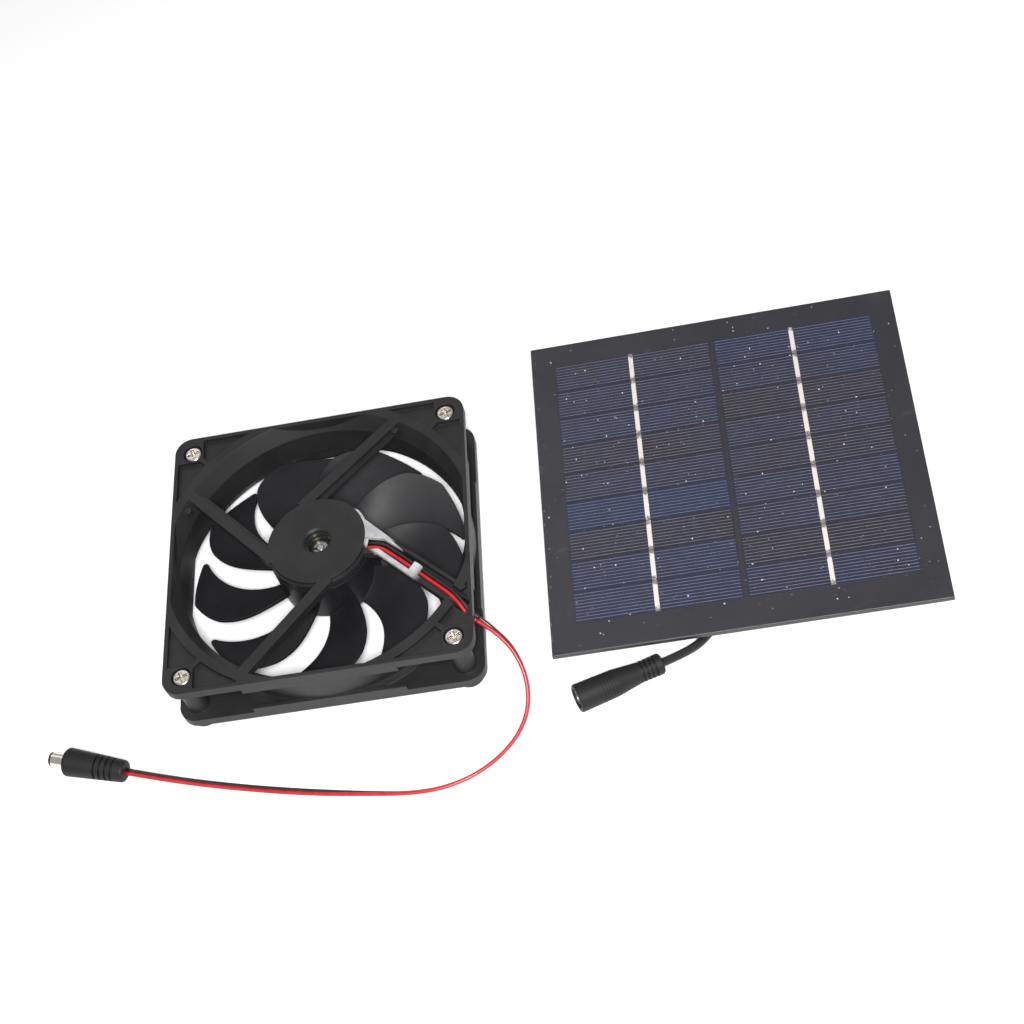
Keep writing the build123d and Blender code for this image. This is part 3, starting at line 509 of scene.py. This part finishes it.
def cell_finish(name, blueness):
    """Silicon whose strips, from the top, are as blue as the nine numbers say."""
    finish = Finish(name, IOR=1.5)
    _, y, _ = finish.axes()
    strip = (strips_top - y) / (strip_pitch * strip_count)
    steps = ["steps"] + [(k / strip_count, (tone, tone, tone)) for k, tone in enumerate(blueness)]
    tone = strip.node("ValToRGB", {"stops": steps}, {"Fac": strip})
    cells = {"Vector": finish.place, "Scale": 1 / (7 * MM), "Randomness": 1.0}
    crystals = finish.place.node("TexVoronoi", {"feature": "F1"}, cells, output=1)
    grain = crystals.node("SeparateColor", {}, {"Color": crystals})
    clouds = finish.place.noise(22)
    shade = tone + (grain - 0.5) * 0.16 + (clouds - 0.5) * 0.7
    finish.feed(Base_Color=shade.ramp(0.0, 1.0).mix(plum, blue), Roughness=0.3 + grain * 0.08)
    keep(name, finish)


cell_finish("cell_left", left_blueness)
cell_finish("cell_right", right_blueness)

# %% [markdown]
# ## Board, ribbons, fingers, film and dust
# The board is black and almost flat.  The ribbons are tinned copper, mottled with solder where one
# strip is joined to the next.  The clear front layer can hardly be seen except along its cut edges.

# %% Board finish
finish = Finish("board_black", IOR=1.5, Specular_IOR_Level=0.42)
haze = finish.place.noise(30)
finish.feed(Base_Color=haze.ramp(0.3, 0.7).mix((0.0170, 0.0158, 0.0200), (0.0215, 0.0200, 0.0252)),
            Roughness=0.36 + (haze - 0.5) * 0.1)
finish.surface(0.2, haze, 0.2, 0.01)
keep("board_black", finish)

# %% Ribbon finish
finish = Finish("ribbon_tin", Metallic=0.45)
_, y, _ = finish.axes()
strip_share = ((strips_top - y) / strip_pitch).maths("FRACT")
joint = 1 - (0.5 - abs(strip_share - 0.5)).ramp(0.03, 0.2)
mottle = finish.place.noise(0.8, detail=4)
solder = (mottle * (0.62 + joint * 0.75)).ramp(0.36, 0.56)
finish.feed(Base_Color=solder.mix((0.74, 0.68, 0.64), (0.22, 0.20, 0.19)), Roughness=0.38 + mottle * 0.2)
finish.surface(0.1, mottle, 0.7, 0.05)
keep("ribbon_tin", finish)

# %% Finger, dust and film finishes
finish = Finish("finger_silver", Roughness=0.45, Specular_IOR_Level=0.4)
finish.feed(Base_Color=finish.place.noise(4).ramp(0.3, 0.7).mix((0.10, 0.10, 0.145), (0.14, 0.14, 0.19)))
keep("finger_silver", finish)

finish = Finish("dust_white", Roughness=0.7)
finish.feed(Base_Color=finish.place.noise(5).mix((0.7, 0.7, 0.71), (0.95, 0.95, 0.94)))
keep("dust_white", finish)

finish = Finish("front_film", Base_Color=(0.8, 0.81, 0.8, 1), IOR=1.5)
x, y, _ = finish.axes()
centre = (board_low + board_high) / 2
reach = (board_high.x - board_low.x) / 2
cut_edge = abs(x - centre.x).maths("MAXIMUM", abs(y - centre.y)) > reach - 0.1 * MM
scuffs = finish.place.noise(9, detail=8).ramp(0.62, 0.8)
finish.feed(Alpha=0.003 + scuffs * 0.012 + cut_edge * 0.14, Roughness=0.3 + scuffs * 0.2)
keep("front_film", finish)

# %% [markdown]
# ## A helper for Geometry Nodes
# The fingers and the dust are thousands of tiny copies, which Geometry Nodes makes from a few numbers.
# `grow` builds the modifier, sets its inputs by their identifiers, and takes the result as a plain mesh.

# %% Growing meshes
class Tree:
    """A geometry node tree with named inputs."""

    def __init__(self, name, inputs):
        self.group = bpy.data.node_groups.new(name, "GeometryNodeTree")
        self.group.interface.new_socket("Geometry", in_out="OUTPUT", socket_type="NodeSocketGeometry")
        self.keys = {}
        self.values = inputs
        for label, value in inputs.items():
            kind = "NodeSocketInt" if isinstance(value, int) else "NodeSocketFloat"
            socket = self.group.interface.new_socket(label, in_out="INPUT", socket_type=kind)
            self.keys[label] = socket.identifier
        self.start = self.group.nodes.new("NodeGroupInput")

    def add(self, kind, settings=(), sockets=(), output=0):
        """Add a node; a socket takes a value, another node's output, or the name of an input."""
        made = self.group.nodes.new(kind)
        for name, value in dict(settings).items():
            setattr(made, name, value)
        for name, value in dict(sockets).items():
            if isinstance(value, str):
                value = self.start.outputs[value]
            if isinstance(value, bpy.types.NodeSocket):
                self.group.links.new(value, made.inputs[name])
            else:
                made.inputs[name].default_value = value
        return made.outputs[output]

    def vector(self, **parts):
        return self.add("ShaderNodeCombineXYZ", sockets=parts)

    def finish(self, geometry, material):
        """Realize, set the material, and send the result out."""
        real = self.add("GeometryNodeRealizeInstances", sockets={"Geometry": geometry})
        painted = self.add("GeometryNodeSetMaterial", sockets={"Geometry": real, "Material": material})
        self.group.links.new(painted, self.group.nodes.new("NodeGroupOutput").inputs[0])


def grow(name, tree, body):
    """Run the tree on an empty mesh and keep the result as a plain piece that rides on a body."""
    seed = bpy.data.objects.new("seed", bpy.data.meshes.new("seed"))
    bpy.context.scene.collection.objects.link(seed)
    modifier = seed.modifiers.new("grow", "NODES")
    modifier.node_group = tree.group
    for label, key in tree.keys.items():
        modifier[key] = tree.values[label]
    bpy.context.view_layer.update()
    mesh = bpy.data.meshes.new_from_object(seed.evaluated_get(bpy.context.evaluated_depsgraph_get()))
    bpy.data.objects.remove(seed)
    piece = bpy.data.objects.new(name, mesh)
    bpy.context.scene.collection.objects.link(piece)
    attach(piece, body)
    print("grown", name, len(mesh.polygons), "faces")
    return piece


# %% [markdown]
# ## Printed fingers
# Nine thin silver lines are printed across every strip.  A line of strips carries a line of fingers,
# and each finger is a flat bar that stands 0.02 mm proud of the silicon.

# %% Fingers
fingers_per_strip = 9
finger_pitch = 1.45 * MM
finger_width = 0.24 * MM
finger_height = 0.04 * MM
end_margin = 0.4 * MM           # bare silicon at each end of a finger
edge_margin = 0.97 * MM         # from the strip's upper edge to the first finger's middle

for side in ("left", "right"):
    low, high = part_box("cells_" + side)
    tree = Tree("fingers_" + side, {"Strips": strip_count, "Strip Pitch": strip_pitch,
                                    "Fingers": fingers_per_strip, "Finger Pitch": finger_pitch,
                                    "Length": high.x - low.x - 2 * end_margin,
                                    "Width": finger_width, "Height": finger_height,
                                    "Middle X": (low.x + high.x) / 2, "First Y": high.y - edge_margin,
                                    "Top Z": high.z})
    down = tree.add("ShaderNodeMath", {"operation": "MULTIPLY"}, {0: "Strip Pitch", 1: -1.0})
    step = tree.add("ShaderNodeMath", {"operation": "MULTIPLY"}, {0: "Finger Pitch", 1: -1.0})
    strips = tree.add("GeometryNodeMeshLine", {"mode": "OFFSET"},
                      {"Count": "Strips", "Offset": tree.vector(Y=down),
                       "Start Location": tree.vector(X="Middle X", Y="First Y", Z="Top Z")})
    fingers = tree.add("GeometryNodeMeshLine", {"mode": "OFFSET"},
                       {"Count": "Fingers", "Offset": tree.vector(Y=step)})
    bar = tree.add("GeometryNodeMeshCube", sockets={"Size": tree.vector(X="Length", Y="Width", Z="Height")})
    places = tree.add("GeometryNodeInstanceOnPoints", sockets={"Points": strips, "Instance": fingers})
    places = tree.add("GeometryNodeRealizeInstances", sockets={"Geometry": places})
    bars = tree.add("GeometryNodeInstanceOnPoints", sockets={"Points": places, "Instance": bar})
    tree.finish(bars, finishes["finger_silver"])
    grow("fingers_" + side, tree, "panel_unit")

# %% [markdown]
# ## The front film
# A thin clear sheet lies over everything.  It ends in cut edges that catch the light.

# %% Film
film_gap = 0.03 * MM
film_low_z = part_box("ribbons_left")[1].z + film_gap
film_high_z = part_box("front_layer")[1].z
corners = [(x, y, z) for z in (film_low_z, film_high_z)
           for x, y in ((board_low.x, board_low.y), (board_high.x, board_low.y),
                        (board_high.x, board_high.y), (board_low.x, board_high.y))]
film_faces = [(3, 2, 1, 0), (4, 5, 6, 7)] + [(k, (k + 1) % 4, (k + 1) % 4 + 4, k + 4) for k in range(4)]
film_mesh = bpy.data.meshes.new("clear_film")
film_mesh.from_pydata(corners, [], film_faces)
film_mesh.materials.append(finishes["front_film"])
clear_film = bpy.data.objects.new("clear_film", film_mesh)
bpy.context.scene.collection.objects.link(clear_film)
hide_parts("front_layer")
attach(clear_film, "panel_unit")

# %% [markdown]
# ## Dust and chips
# White specks lie all over the panel, and more of them along its left edge.  Points are scattered on a
# flat grid, and each gets a tiny flattened ball of a random size and turn.

# %% Dust
speck_shape = (1.0, 0.55, 0.25)
speck_sink = 0.06 * MM
speck_rarity = 4.0              # the higher, the fewer of the specks are large
turn_range = 40.0               # radians over which the specks' turns are spread


def dust(name, width, depth, middle, density, seed, smallest, largest):
    """Specks scattered over a rectangle at the film's height."""
    tree = Tree(name, {"Width": width, "Depth": depth, "X": middle[0], "Y": middle[1],
                       "Z": film_high_z - speck_sink, "Density": density, "Seed": seed,
                       "Smallest": smallest, "Largest": largest})
    sheet = tree.add("GeometryNodeMeshGrid", sockets={"Size X": "Width", "Size Y": "Depth"})
    sheet = tree.add("GeometryNodeTransform", sockets={"Geometry": sheet,
                                                       "Translation": tree.vector(X="X", Y="Y", Z="Z")})
    points = tree.add("GeometryNodeDistributePointsOnFaces", sockets={"Mesh": sheet, "Density": "Density",
                                                                      "Seed": "Seed"})
    shade = tree.add("FunctionNodeRandomValue", {"data_type": "FLOAT"},
                     {2: 0.0, 3: 1.0, "ID": tree.add("GeometryNodeInputIndex"), "Seed": "Seed"}, output=1)
    share = tree.add("ShaderNodeMath", {"operation": "POWER"}, {0: shade, 1: speck_rarity})
    spread = tree.add("ShaderNodeMath", {"operation": "SUBTRACT"}, {0: "Largest", 1: "Smallest"})
    size = tree.add("ShaderNodeMath", {"operation": "MULTIPLY_ADD"}, {0: share, 1: spread, 2: "Smallest"})
    turn = tree.add("ShaderNodeMath", {"operation": "MULTIPLY"}, {0: shade, 1: turn_range})
    speck = tree.add("GeometryNodeMeshIcoSphere", sockets={"Radius": 0.5, "Subdivisions": 1})
    speck = tree.add("GeometryNodeTransform", sockets={"Geometry": speck, "Scale": speck_shape})
    specks = tree.add("GeometryNodeInstanceOnPoints",
                      sockets={"Points": points, "Instance": speck, "Rotation": tree.vector(Z=turn),
                               "Scale": size})
    tree.finish(specks, finishes["dust_white"])
    return grow(name, tree, "panel_unit")


panel_width = board_high.x - board_low.x
dusty_width = panel_width * 0.97
chip_band_width = 1.6 * MM
chip_band_depth = panel_width * 0.96
chip_band_middle = (board_low.x + 1.2 * MM, centre.y)
# the density is in specks to the square metre
dust("dust", dusty_width, dusty_width, centre, 28000.0, 5, 0.16 * MM, 0.8 * MM)
dust("edge_chips", chip_band_width, chip_band_depth, chip_band_middle, 420000.0, 8, 0.12 * MM, 0.4 * MM)

# %% [markdown]
# ## Dressing the CAD parts
# The remaining parts keep their CAD shape, and only take a finish.

# %% Finishes on CAD nodes
dressing = {
    "frame_black": ["fan_frame"],
    "blade_black": ["impeller"],
    "inner_plastic": ["ring_magnet", "driver_chip", "hall_sensor", "plug_insulator", "blocking_diode",
                      "junction_box"],
    "foot_rubber": ["rubber_feet"],
    "plug_rubber": ["plug_body", "socket_body"],
    "screw_nickel": ["corner_screws", "corner_nuts"],
    "barrel_nickel": ["plug_barrel", "socket_sleeve", "socket_pin"],
    "shaft_steel": ["motor_shaft", "box_terminals"],
    "yoke_steel": ["rotor_yoke", "stator_core"],
    "contact_brass": ["plug_contact"],
    "tube_dark": ["bearing_tube"],
    "bearing_bronze": ["sleeve_bearing"],
    "copper_winding": ["stator_coils"],
    "red_insulation": ["red_wire_inside"],
    "black_insulation": ["black_wire_inside"],
    "clip_grey": ["shaft_clip"],
    "insulator_white": ["lower_insulator", "upper_insulator"],
    "board_green": ["circuit_board"],
    "board_black": ["panel_board"],
    "cell_left": ["cells_left"],
    "cell_right": ["cells_right"],
    "ribbon_tin": ["ribbons_left", "ribbons_right"],
}
for finish_name, names in dressing.items():
    for name in names:
        nodes[name].data.materials.clear()
        nodes[name].data.materials.append(finishes[finish_name])
floor_finish = Finish("floor_pale", Base_Color=floor_tone, Roughness=0.8)
floor.data.materials.append(floor_finish.material)
undressed = sorted(set(nodes) - set(sum(dressing.values(), [])) - {"fan_lead", "panel_cable", "front_layer"})
print("CAD nodes without a finish:", undressed)
